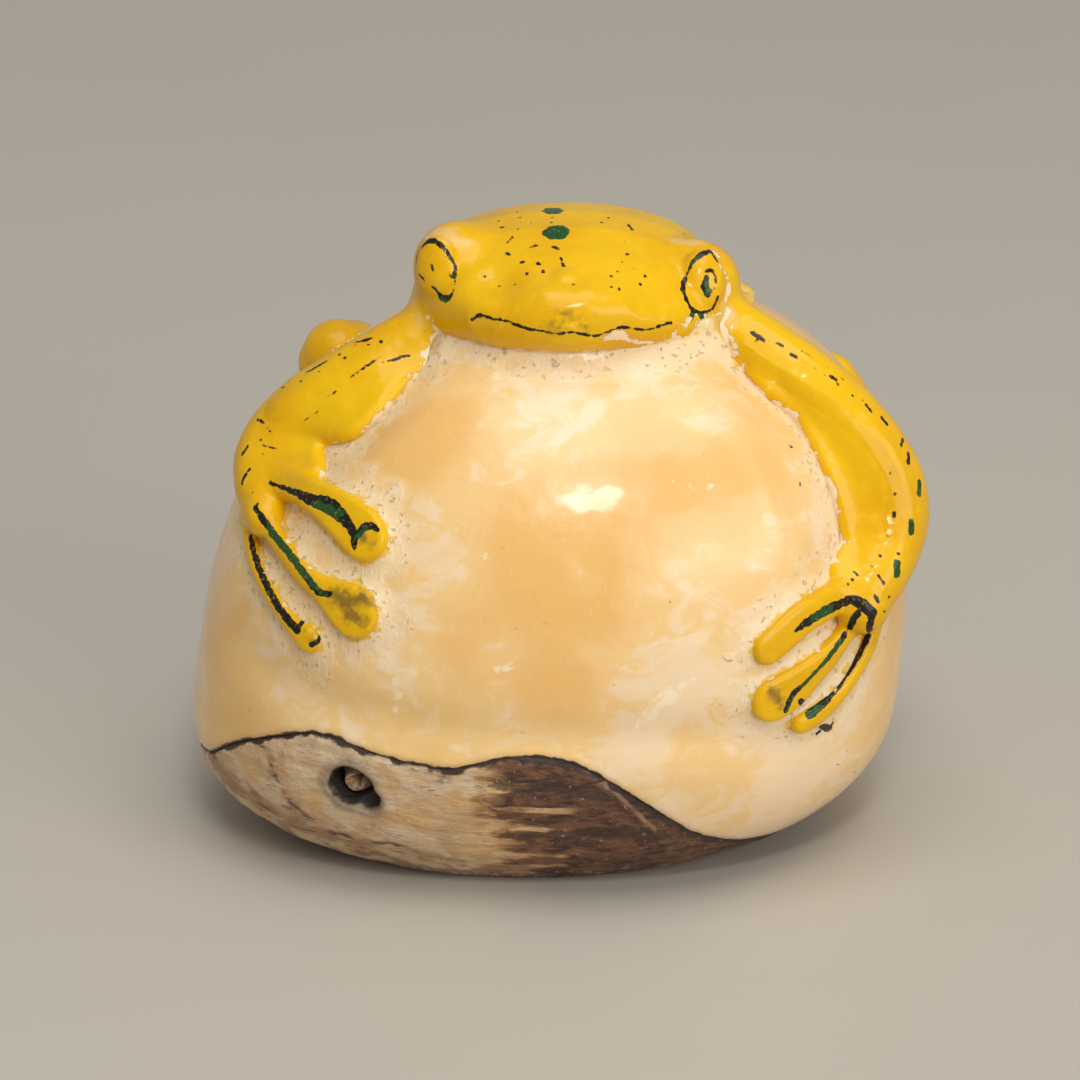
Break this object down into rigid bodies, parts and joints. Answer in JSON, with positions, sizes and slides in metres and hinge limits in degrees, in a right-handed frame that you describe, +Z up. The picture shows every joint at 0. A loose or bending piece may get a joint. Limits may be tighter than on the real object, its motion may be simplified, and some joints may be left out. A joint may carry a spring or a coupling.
{
  "type": "carved tagua nut frog figurine",
  "caption": "Small free-standing figurine: a painted frog carved in relief, hugging a polished tagua nut that keeps part of its brown seed coat as a base.",
  "frame": {"origin": "middle of the bottom face of the part's box, on the flat the figurine stands on", "axes": "+Z up; the frog faces -Y; +X is towards the frog's own left"},
  "size_m": [0.0458, 0.038, 0.0399],
  "materials": {
    "ivory": "polished vegetable ivory under clear lacquer",
    "seed_coat": "natural brown seed coat, semi-matt, fibrous",
    "pore_fibre": "dry plant fibre",
    "yellow_paint": "vegetable ivory, hand painted yellow with black and green ink, glossy clear lacquer",
    "eye_paint": "vegetable ivory, hand painted, with a black ring and a small pupil, glossy clear lacquer"
  },
  "bodies": {
    "root": {"nut_body": "ivory", "seed_coat": "seed_coat", "germ_plug": "pore_fibre", "frog_head": "yellow_paint", "left_eye": "eye_paint", "right_eye": "eye_paint", "frog_trunk": "yellow_paint", "left_foreleg": "yellow_paint", "right_foreleg": "yellow_paint", "left_hand": "yellow_paint", "right_hand": "yellow_paint", "left_hind_leg": "yellow_paint", "right_hind_leg": "yellow_paint", "left_foot": "yellow_paint", "right_foot": "yellow_paint"}
  },
  "joints": []
}
